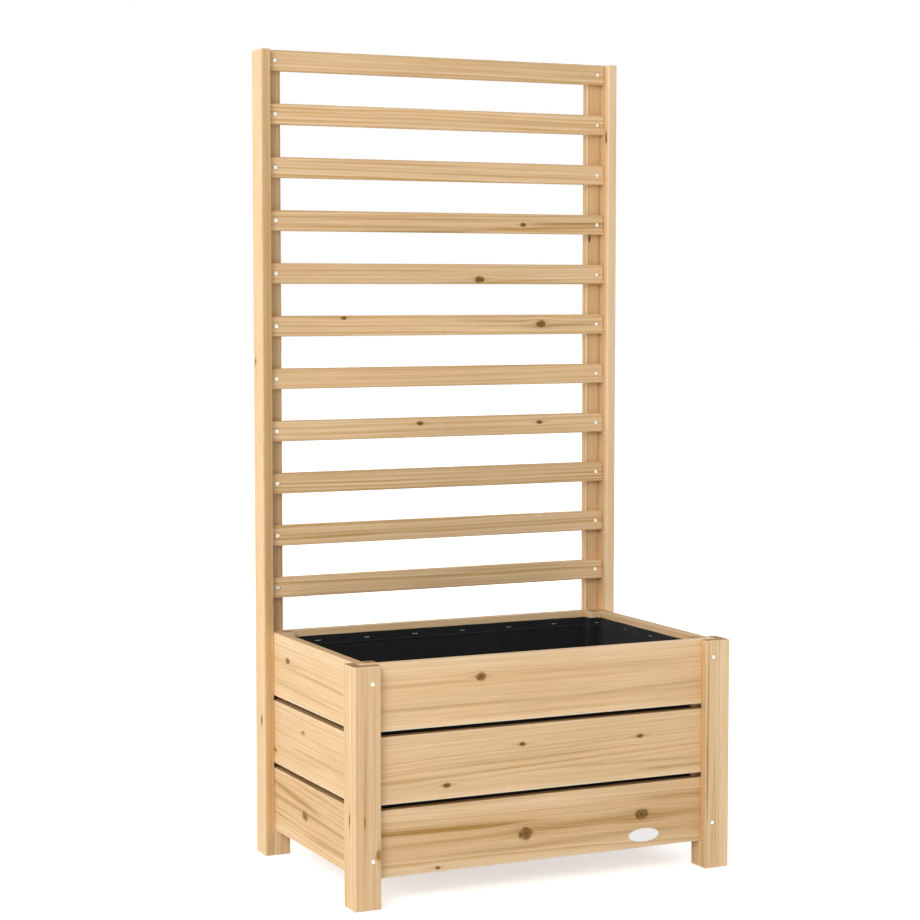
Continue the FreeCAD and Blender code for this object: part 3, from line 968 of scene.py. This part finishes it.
class LinerShape:
    """Where the cloth of the liner lies: its outline in plan, its folds and its heights."""

    def __init__(self, settings):
        low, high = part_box("fabric_liner")
        half_thick = settings.thickness / 2
        self.low, self.tall = low.z, high.z - low.z
        self.fold, self.spacing = settings.fold_depth, settings.staple_spacing
        a, b = high.x - half_thick - LINER_PLAY, high.y - half_thick - LINER_PLAY
        inner_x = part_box("front_right_corner_batten")[0].x - BATTEN_PLAY - half_thick
        inner_y = b - (a - inner_x)
        corners = [(inner_x, -b), (inner_x, -inner_y), (a, -inner_y)]
        corners += [(a, inner_y), (inner_x, inner_y), (inner_x, b)]
        corners += [(-x, -y) for x, y in corners]
        self.points = soft_outline([Vector(corner) for corner in corners])
        self.lengths = lengths_of(self.points)
        self.around = self.lengths[-1]
        self.outward = []
        for i in range(len(self.points)):
            run = self.points[(i + 1) % len(self.points)] - self.points[i - 1]
            self.outward.append(Vector((run.y, -run.x)).normalized())
        dice = random.Random(11)
        self.waves = []
        for span, deep in FOLD_WAVES:
            turns = max(1, round(self.around / span))
            self.waves.append((turns, deep, dice.uniform(0, 6.28), dice.uniform(-1.6, 1.6)))
        self.pleats = []
        for p, length in zip(self.points, self.lengths):
            if abs(abs(p.x) - (inner_x - 0.02)) < 0.0036 and abs(abs(p.y) - b) < 0.001:
                self.pleats.append(length)

    def inward(self, i, share):
        """How far the cloth stands off the wall at point i and this share of its height."""
        at = self.lengths[i]
        total = 0.0
        for turns, deep, start, lean in self.waves:
            wave = math.sin(2 * math.pi * turns * at / self.around + start + lean * share * 2)
            total += deep * max(0.0, wave) ** 1.5
        body = math.sin(math.pi * min(1.0, share * 1.04)) ** 0.7 * self.fold * 0.55
        top = max(0.0, (share - 0.72) / 0.28)
        off = total * body + math.sin(math.pi * at / self.spacing) ** 2 * SCALLOP * top**1.5
        for place in self.pleats:
            gap = (at - place + self.around / 2) % self.around - self.around / 2
            gap -= (share - 0.5) * PLEAT_LEAN
            if abs(gap) < 0.03:
                ridge = math.exp(-((gap / 0.006) ** 2)) + 0.5 * math.exp(-(((gap - 0.016) / 0.005) ** 2))
                off += ridge * PLEAT_HEIGHT * (1.0 - 0.55 * share)
        return off

    def level(self, share, nudge=0.0):
        """Points of the cloth's middle layer all round at a share of its height, moved inwards."""
        return [self.spot(i, share, nudge) for i in range(len(self.points))]

    def spot(self, i, share, nudge=0.0):
        flat = self.points[i] - self.outward[i] * (self.inward(i, share) + nudge)
        return Vector((flat.x, flat.y, self.low + self.tall * share))


def liner_mesh(shape, thick):
    """The cloth as one sheet: walls, a soft foot and the bottom, with the flat cut as its UV map."""
    bm = bmesh.new()
    uv = bm.loops.layers.uv.new("flat_cut")
    foot = FOOT_R / (shape.tall - thick)
    rows = [shape.level(1.0 - (1.0 - foot) * k / WALL_ROWS) for k in range(WALL_ROWS + 1)]
    base = shape.low + thick / 2
    for k in range(1, FOOT_ROWS + 1):
        angle = math.pi / 2 * k / FOOT_ROWS
        inwards, lift = FOOT_R * (1 - math.cos(angle)), base + FOOT_R * (1 - math.sin(angle))
        pairs = zip(rows[WALL_ROWS], shape.outward)
        rows.append([Vector((p.x - out.x * inwards, p.y - out.y * inwards, lift)) for p, out in pairs])
    dice = random.Random(5)
    lumps = []
    for _ in range(LUMP_COUNT):
        lumps.append((dice.uniform(-0.27, 0.27), dice.uniform(-0.16, 0.16), dice.uniform(0.02, 0.05)))
    last = rows[-1]
    for k in range(1, FLOOR_ROWS):
        shrink, ease = 1.0 - k / FLOOR_ROWS, min(1.0, k / 3)
        row = []
        for p in last:
            x, y = p.x * shrink, p.y * shrink
            lift = 0.0
            for cx, cy, wide in lumps:
                fall = ((x - cx) / wide) ** 2 + ((y - cy) / (wide * 2.2)) ** 2
                lift += LUMP_HEIGHT * math.exp(-fall)
            row.append(Vector((x, y, base + lift * ease)))
        rows.append(row)
    depths = [0.0]
    for low, high in zip(rows, rows[1:]):
        depths.append(depths[-1] + (high[0] - low[0]).length)

    made = [[bm.verts.new(p) for p in row] for row in rows]
    centre = bm.verts.new((0.0, 0.0, base + 0.5 * MM))
    count = len(last)
    for k in range(len(made) - 1):
        for i in range(count):
            j = (i + 1) % count
            face = bm.faces.new((made[k][i], made[k][j], made[k + 1][j], made[k + 1][i]))
            ends = ((i, k), (i + 1, k), (i + 1, k + 1), (i, k + 1))
            for loop, (a, d) in zip(face.loops, ends):
                loop[uv].uv = (shape.lengths[a], depths[d])
                if k >= WALL_ROWS + FOOT_ROWS:
                    loop[uv].uv = (loop.vert.co.x + FLOOR_CUT, loop.vert.co.y)
    for i in range(count):
        for loop in bm.faces.new((made[-1][i], made[-1][(i + 1) % count], centre)).loops:
            loop[uv].uv = (loop.vert.co.x + FLOOR_CUT, loop.vert.co.y)
    bm.normal_update()
    mesh = bpy.data.meshes.new("liner")
    bm.to_mesh(mesh)
    bm.free()
    return mesh


def hem_mesh(shape, thick, height):
    """The hem: the cloth's top edge folded inwards and down, as one closed band."""
    bm = bmesh.new()
    uv = bm.loops.layers.uv.new("flat_cut")
    half, deep = thick / 2 + 0.05 * MM, thick + HEM_LAYER
    section = []  # inwards and up from the top of the cloth
    for k in range(7):
        angle = math.pi * k / 6
        section.append((deep / 2 - half - math.cos(angle) * deep / 2, -deep / 2 + math.sin(angle) * deep / 2))
    for k in range(1, 7):
        slack = 0.12 * MM * math.sin(math.pi * k / 6)
        section.append((deep - half - slack, -deep / 2 - (height - deep) * k / 6))
    section.append((deep - half - 0.5 * MM, -height))
    section.append((thick / 2 - 0.2 * MM, -height + 0.3 * MM))
    section.append((-half + 0.25 * MM, -height + 1.5 * MM))
    run = [0.0]
    for (a, b), (c, d) in zip(section, section[1:] + section[:1]):
        run.append(run[-1] + math.hypot(c - a, d - b))

    loops = []
    for i, at in enumerate(shape.lengths[:-1]):
        pucker = PUCKER * math.sin(at * 2 * math.pi / PUCKER_SPAN) * 0.5
        loop = []
        for off, dz in section:
            share = min(1.0, 1.0 + dz / shape.tall)
            place = shape.spot(i, share, off + pucker if off > 0 else off)
            loop.append(bm.verts.new(place + Vector((0, 0, max(0.0, dz)))))
        loops.append(loop)
    for i in range(len(loops)):
        j = (i + 1) % len(loops)
        s, s_end = shape.lengths[i : i + 2]
        for k in range(len(section)):
            m = (k + 1) % len(section)
            face = bm.faces.new((loops[i][k], loops[j][k], loops[j][m], loops[i][m]))
            flat = ((s, run[k]), (s_end, run[k]), (s_end, run[k + 1]), (s, run[k + 1]))
            for loop, place in zip(face.loops, flat):
                loop[uv].uv = place
    return mesh_of("liner_hem", bm)


def stitch_mesh(length, thick):
    """One stitch: a short thread that dives into the cloth at both ends. X along the seam."""
    bm = bmesh.new()
    loops = []
    for share in (-1.0, -0.72, 0.0, 0.72, 1.0):
        r = thick * (0.55 if abs(share) > 0.9 else 1.0)
        lift = -thick * 0.9 * share**4
        loops.append(ring_of(bm, 6, lambda c, s: (share * length / 2, r * c, lift + r * s)))
    skin(bm, loops, [0, -1])
    mesh = mesh_of("stitch", bm)
    mesh.shade_smooth()
    return mesh


def staple_mesh():
    """One staple: a flat wire with two legs that go down -Z into the wood. X along its crown."""
    crown, leg, wide, thick = 10.0 * MM, 6.0 * MM, 1.1 * MM, 0.6 * MM
    path = [(-crown / 2, -leg), (-crown / 2, -0.9 * MM), (-crown / 2 + 0.35 * MM, -0.2 * MM)]
    path += [(-crown / 2 + 1.0 * MM, 0.0)]
    path += [(-x, z) for x, z in reversed(path)]
    bm = bmesh.new()
    loops = []
    for i, (x, z) in enumerate(path):
        run = Vector(path[min(len(path) - 1, i + 1)]) - Vector(path[max(0, i - 1)])
        run.normalize()
        side = Vector((-run.y, run.x)) * thick / 2
        loop = []
        for s, w in ((1, -1), (1, 1), (-1, 1), (-1, -1)):
            loop.append(bm.verts.new((x + side.x * s, w * wide / 2, z + side.y * s)))
        loops.append(loop)
    skin(bm, loops, [0, -1])
    return mesh_of("staple", bm)


def felt_group():
    """Pressed felt: short random fibres and the grid of dots that bonds them."""
    inputs = "Vector: vector, Cloth: colour, Dot Pitch"
    bench, fed, finish = new_group("felt", inputs, "Color: colour, Shine, Height")
    fibres = bench.noise(fed.vector, 1500.0, 4.0, 0.7)
    clouds = bench.noise(fed.vector, 38.0, 3.0)
    steps = bench.vectors("DIVIDE", fed.vector, bench.join(fed.dot_pitch, fed.dot_pitch, 1.0))
    x, y, _ = bench.split(bench.vectors("FRACTION", steps))
    dots = bench.ramp(bench.length(x - 0.5, y - 0.5), 0.22, 0.36, 1.0, 0.0)
    light = fibres * 0.9 + (clouds * 0.7 + 0.2)
    finish(bench.times_all(fed.cloth, light), dots * -0.2 + 0.9, dots * -0.6 + fibres * 0.7)


def felt_material(settings):
    material, bench, shader = new_material("liner_felt")
    cut = bench.out("ShaderNodeUVMap", uv_map="flat_cut")
    felt = place_group(bench, "felt", vector=cut, cloth=settings.cloth, dot_pitch=1.6 * MM)
    looks = {
        "Base Color": felt["color"],
        "Roughness": felt["shine"],
        "Normal": bench.bump(0.6, 0.25 * MM, felt["height"]),
        "Sheen Weight": 0.12,
        "Sheen Roughness": 0.5,
        "Specular IOR Level": 0.2,
    }
    bench.wire(shader, looks)
    return material


def thread_material(settings):
    material, bench, shader = new_material("hem_thread")
    twist = bench.noise(bench.spot(), 2600.0, 2.0)
    colour = bench.blend(twist, settings.thread, paint("55555A"))
    bench.wire(shader, {"Base Color": colour, "Roughness": bench.ramp(twist, 0.3, 0.7, 0.5, 0.75)})
    return material


class ClothTrack:
    """A closed line on the inside of the cloth, for what is fixed along it."""

    def __init__(self, shape, share, off):
        self.points = shape.level(share, off)
        self.lengths = lengths_of(self.points)

    def at(self, length):
        """Place, direction into the box and direction along the cloth, at a length along the line."""
        k = max(i for i in range(len(self.points)) if self.lengths[i] <= length)
        a, b = self.points[k], self.points[(k + 1) % len(self.points)]
        run = (b - a).normalized()
        share = (length - self.lengths[k]) / (b - a).length
        return a + (b - a) * share, Vector((-run.y, run.x, 0.0)).normalized(), run


# ---------------------------------------------------------------------------
# Plate
# ---------------------------------------------------------------------------

PLATE_X, PLATE_Z = 185.7 * MM, 65.4 * MM  # centre of the oval
PLATE_SEGMENTS = 72
# Share of the outline and share of the thickness, from the back to the middle of the face.
PLATE_PROFILE = (
    (0.985, 0.0),
    (1.0, 0.3),
    (0.995, 0.62),
    (0.975, 0.86),
    (0.945, 0.97),
    (0.915, 1.0),
    (0.885, 0.96),
    (0.86, 0.86),
    (0.82, 0.82),
    (0.6, 0.86),
    (0.35, 0.89),
    (0.12, 0.9),
)


def plate_mesh(settings, face_y):
    """A low oval plate with a rolled rim, flat against the board whose face is at face_y."""
    bm = bmesh.new()
    loops = []
    for share, lift in PLATE_PROFILE:
        inset = (1.0 - share) * settings.height / 2
        wide, tall = settings.width / 2 * share + inset * 0.3, settings.height / 2 * share
        y = face_y - settings.thickness * lift
        loops.append(ring_of(bm, PLATE_SEGMENTS, lambda c, s: (PLATE_X + wide * c, y, PLATE_Z + tall * s)))
    skin(bm, loops, [0, -1])
    return mesh_of("oval_plate", bm, sharp=50)


def enamel_material(settings):
    material, bench, shader = new_material("plate_enamel")
    spot = bench.spot()
    x, _, z = bench.split(spot)
    share = bench.length((x - PLATE_X) / (settings.width / 2), (z - PLATE_Z) / (settings.height / 2))
    cloud = bench.noise(spot, 130.0, 3.0)
    colour = bench.blend(bench.ramp(cloud, 0.35, 0.75), settings.enamel, paint("FCFBF8"))
    looks = {
        # The rim's grey is bare metal, darkened as painted shade along the plate's edge.
        "Base Color": bench.blend(bench.ramp(share, 0.94, 0.985), colour, settings.rim),
        "Roughness": bench.ramp(cloud, 0.3, 0.7, 0.24, 0.34),
        "Normal": bench.bump(0.3, 0.06 * MM, cloud),
        "Coat Weight": 1.0,
        "Coat Roughness": 0.15,
    }
    bench.wire(shader, looks)
    return material


# ---------------------------------------------------------------------------
# Stage
# ---------------------------------------------------------------------------

FLOOR_HALF = 30.0
FLOOR_DROP = 0.4 * MM  # keeps the floor off the undersides of the posts
LAMPS = {
    # place and width in metres
    "key": ((-4.0, 0.5, 2.0), 2.4),
    "front": ((-3.0, -3.0, 2.6), 1.8),
    "rear": ((3.0, 3.2, 2.6), 2.2),
}
LAMP_TARGET = Vector((0.0, 0.0, 0.6))
CAMERA_PLACE = (-1.68608, -3.44049, 0.96554)
CAMERA_YAW, CAMERA_PITCH = 0.4427, 0.0740
SENSOR_WIDTH = 36.0


def floor_material(settings):
    """The camera sees the floor run out to white, and keeps the shadow by the feet."""
    material, bench, shader = new_material("studio_floor")
    away = bench.vectors("LENGTH", bench.spot(), pick="Value")
    looks = {
        "Base Color": settings.floor,
        "Roughness": 0.9,
        "Specular IOR Level": 0.0,
        "Emission Color": WHITE,
        "Emission Strength": bench.seen_plainly() * bench.ramp(away, 0.7, 2.6, 0.6, 0.8),
    }
    bench.wire(shader, looks)
    return material


def white_room(settings):
    """A world that looks white and lights the scene with the room's own level."""
    world = bpy.data.worlds.new("white_room")
    world.use_nodes = True
    bench = Bench(world.node_tree)
    bench.tree.nodes.clear()
    level = bench.ramp(bench.seen_plainly(), 0.0, 1.0, settings.world_level, 1.0, "LINEAR")
    glow = bench.out("ShaderNodeBackground", {"Color": WHITE, "Strength": level})
    bench.add("ShaderNodeOutputWorld", {"Surface": glow})
    return world


def aimed(name, data, place, ahead):
    """A lamp or camera at a place, looking ahead."""
    thing = new_piece(name, data)
    thing.location = place
    thing.rotation_euler = Vector(ahead).to_track_quat("-Z", "Y").to_euler()
    return thing


# ---------------------------------------------------------------------------
# Operators: one for each piece or group of like pieces, and one for the stage
# ---------------------------------------------------------------------------


class PLANTER_OT_wood_groups(bpy.types.Operator):
    """Make the node groups that all wooden pieces, the cloth and the fixings share"""

    bl_idname = "planter.wood_groups"
    bl_label = "Shared node groups"

    def execute(self, context):
        knot_flow_group()
        stain_patch_group()
        painted_arris_light_group()
        painted_screw_ring_group()
        fir_group()
        felt_group()
        fixings_tree()
        return {"FINISHED"}


class PLANTER_OT_posts(bpy.types.Operator):
    """Give the boards of the four corner posts their fir"""

    bl_idname = "planter.posts"
    bl_label = "Corner posts"

    def execute(self, context):
        for corner in ("front_left_leg", "front_right_leg", "rear_right_post", "rear_left_post"):
            for board in (corner + "_wide", corner + "_narrow"):
                low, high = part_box(board)
                faces_front = high.x - low.x > high.y - low.y
                saw_fir(board, UPRIGHT_FRONT if faces_front else UPRIGHT_SIDE)
        return {"FINISHED"}


class PLANTER_OT_wall_boards(bpy.types.Operator):
    """Give the boards of the four walls their fir"""

    bl_idname = "planter.wall_boards"
    bl_label = "Wall boards"

    def execute(self, context):
        # The narrow faces in the gaps between boards take painted shade; the upper face of a wall's top board
        # is darkened less, by the third value.
        for side, lie, rim in (
            ("front", LAID_WIDE, 0.25),
            ("rear", LAID_WIDE, 0.5),
            ("left", LAID_DEEP, 0.8),
            ("right", LAID_DEEP, 0.8),
        ):
            for name in named(side + "_board_"):
                face_shade = (0.0 if name.endswith("bottom") else 1.0, rim if name.endswith("top") else 1.0)
                saw_fir(name, lie, figure=0.36, edge_strength=1.0, edge_face_shading=face_shade)
        return {"FINISHED"}


class PLANTER_OT_trellis_slats(bpy.types.Operator):
    """Give the slats of the trellis their fir"""

    bl_idname = "planter.trellis_slats"
    bl_label = "Trellis slats"

    def execute(self, context):
        for name in named("trellis_slat_"):
            # The slats' arrises take painted shade in the brown colour.
            saw_fir(name, LAID_WIDE, figure=0.85, edge_strength=0.45, shaded_arrises=True)
        return {"FINISHED"}


class PLANTER_OT_inner_frame(bpy.types.Operator):
    """Give the battens, foot blocks, rails and floor slats their fir"""

    bl_idname = "planter.inner_frame"
    bl_label = "Inner frame"

    def execute(self, context):
        for name in sorted(NODES):
            if name.endswith(("_corner_batten", "_foot_block")):
                saw_fir(name, UPRIGHT_FRONT)
        for name in named("floor_rail_"):
            saw_fir(name, LAID_WIDE)
        for name in named("floor_slat_"):
            saw_fir(name, FLAT_DEEP)
        return {"FINISHED"}


class PLANTER_OT_screws(bpy.types.Operator):
    """Set the countersunk screws of the trellis and of the posts"""

    bl_idname = "planter.screws"
    bl_label = "Screws"

    def execute(self, context):
        settings = context.scene.planter_screws
        steel = steel_material(settings)
        low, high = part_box("trellis_screws")
        face_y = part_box("trellis_slat_01")[0].y
        columns = (low.x + SCREW_HEAD_R, high.x - SCREW_HEAD_R)
        places = []
        for name in named("trellis_slat_"):
            slat_low, slat_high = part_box(name)
            for x in columns:
                places.append((Vector((x, face_y, (slat_low.z + slat_high.z) / 2)), (0, 1, 0), (1, 0, 0)))
        part = screw_mesh("trellis_screw", high.y - face_y, settings)
        piece = set_on_points("trellis_screws_detailed", places, part, steel, math.pi / 2, 3)
        own(piece, ["trellis_screws"])

        low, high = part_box("frame_screws")
        front_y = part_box("front_left_leg_wide")[0].y
        rear_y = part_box("rear_left_post_narrow")[1].y
        places = []
        for x in columns:
            for z in (low.z + SCREW_HEAD_R, high.z - SCREW_HEAD_R):
                places.append((Vector((x, front_y, z)), (0, 1, 0), (1, 0, 0)))
                places.append((Vector((x, rear_y, z)), (0, -1, 0), (1, 0, 0)))
        part = screw_mesh("frame_screw", FRAME_SCREW_LENGTH, settings)
        piece = set_on_points("frame_screws_detailed", places, part, steel, math.pi / 2, 8)
        own(piece, ["frame_screws"])
        return {"FINISHED"}


class PLANTER_OT_liner(bpy.types.Operator):
    """Line the box with felted cloth: sheet, folded hem, hem stitches and staples"""

    bl_idname = "planter.liner"
    bl_label = "Cloth liner"

    def execute(self, context):
        settings = context.scene.planter_liner
        thick, hem_height = settings.thickness, settings.hem_height
        shape = LinerShape(settings)
        felt = felt_material(settings)

        sheet = new_piece("liner_cloth_sheet", liner_mesh(shape, thick))
        wall = sheet.modifiers.new("cloth thickness", "SOLIDIFY")
        wall.thickness = thick
        wall.offset = 0.0
        settle(sheet)
        hem = new_piece("liner_hem", hem_mesh(shape, thick, hem_height))
        for piece in (sheet, hem):
            piece.data.shade_smooth()
            dress(piece, felt)

        face = thick / 2 + HEM_LAYER
        line = ClothTrack(shape, 1.0 - (hem_height - SEAM_RISE) / shape.tall, face)
        count = int(line.lengths[-1] / settings.stitch_pitch)
        stitches = [line.at(line.lengths[-1] * k / count) for k in range(count)]
        part = stitch_mesh(settings.stitch_pitch * 0.72, 0.32 * MM)
        seam = set_on_points("liner_hem_stitches", stitches, part, thread_material(settings))

        line = ClothTrack(shape, 1.0 - hem_height / 2 / shape.tall, face + 0.25 * MM)
        staples = []
        for k in range(int(line.lengths[-1] / settings.staple_spacing)):
            place, inwards, run = line.at(settings.staple_spacing * k)
            if min(abs(abs(run.x) - 1), abs(abs(run.y) - 1)) < 0.02:  # on a straight wall
                staples.append((place, inwards, run))
        clips = set_on_points("liner_staples", staples, staple_mesh(), bpy.data.materials["bright_zinc"])

        for piece, slot in ((hem, "liner_cloth"), (seam, "liner_cloth"), (clips, "screw_steel")):
            own(piece)
        own(sheet, ["fabric_liner"])
        return {"FINISHED"}


class PLANTER_OT_plate(bpy.types.Operator):
    """Fix the bare oval plate to the lowest front board"""

    bl_idname = "planter.plate"
    bl_label = "Oval plate"

    def execute(self, context):
        settings = context.scene.planter_plate
        face_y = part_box("front_board_bottom")[0].y
        piece = new_piece("oval_plate", plate_mesh(settings, face_y))
        dress(piece, enamel_material(settings))
        own(piece)
        return {"FINISHED"}


class PLANTER_OT_stage(bpy.types.Operator):
    """Set up the floor, the white room, the lamps and the camera"""

    bl_idname = "planter.stage"
    bl_label = "Stage"

    def execute(self, context):
        scene = context.scene
        settings = scene.planter_stage
        bm = bmesh.new()
        bmesh.ops.create_grid(bm, x_segments=8, y_segments=8, size=FLOOR_HALF)
        floor = new_piece("studio_floor", mesh_of("studio_floor", bm))
        for vertex in floor.data.vertices:
            vertex.co.z = -FLOOR_DROP
        dress(floor, floor_material(settings))
        scene.world = white_room(settings)

        for name, (place, width) in LAMPS.items():
            data = bpy.data.lights.new(name + "_lamp", "AREA")
            data.energy = getattr(settings, name + "_power")
            data.size = width
            aimed(name + "_lamp", data, place, LAMP_TARGET - Vector(place))

        data = bpy.data.cameras.new("camera")
        data.lens, data.sensor_width = settings.lens, SENSOR_WIDTH
        data.clip_start, data.clip_end = 0.05, 60.0
        level = math.cos(CAMERA_PITCH)
        ahead = (math.sin(CAMERA_YAW) * level, math.cos(CAMERA_YAW) * level, -math.sin(CAMERA_PITCH))
        scene.camera = aimed("camera", data, CAMERA_PLACE, ahead)
        scene.view_settings.view_transform = "Standard"
        return {"FINISHED"}


class PLANTER_PT_sidebar(bpy.types.Panel):
    """Lists the planter's operators and settings"""

    bl_idname = "PLANTER_PT_sidebar"
    bl_label = "Planter with trellis"
    bl_space_type = "VIEW_3D"
    bl_region_type = "UI"
    bl_category = "Planter"

    def draw(self, context):
        for operator in OPERATORS:
            self.layout.operator(operator.bl_idname)
        for pointer, _ in SETTINGS:
            box = self.layout.box()
            group = getattr(context.scene, pointer)
            for title in group.bl_rna.properties.keys():
                if title not in ("rna_type", "name"):
                    box.prop(group, title)


OPERATORS = (
    PLANTER_OT_wood_groups,
    PLANTER_OT_stage,
    PLANTER_OT_posts,
    PLANTER_OT_wall_boards,
    PLANTER_OT_trellis_slats,
    PLANTER_OT_inner_frame,
    PLANTER_OT_screws,
    PLANTER_OT_liner,
    PLANTER_OT_plate,
)
SETTINGS = (
    ("planter_wood", PlanterWoodSettings),
    ("planter_screws", PlanterScrewSettings),
    ("planter_liner", PlanterLinerSettings),
    ("planter_plate", PlanterPlateSettings),
    ("planter_stage", PlanterStageSettings),
)


def register():
    for pointer, group in SETTINGS:
        bpy.utils.register_class(group)
        setattr(bpy.types.Scene, pointer, bpy.props.PointerProperty(type=group))
    for operator in OPERATORS:
        bpy.utils.register_class(operator)
    bpy.utils.register_class(PLANTER_PT_sidebar)


def unregister():
    bpy.utils.unregister_class(PLANTER_PT_sidebar)
    for operator in reversed(OPERATORS):
        bpy.utils.unregister_class(operator)
    for pointer, group in reversed(SETTINGS):
        delattr(bpy.types.Scene, pointer)
        bpy.utils.unregister_class(group)


def main():
    register()
    for operator in OPERATORS:
        group, name = operator.bl_idname.split(".")
        getattr(getattr(bpy.ops, group), name)()


if __name__ == "__main__":
    main()
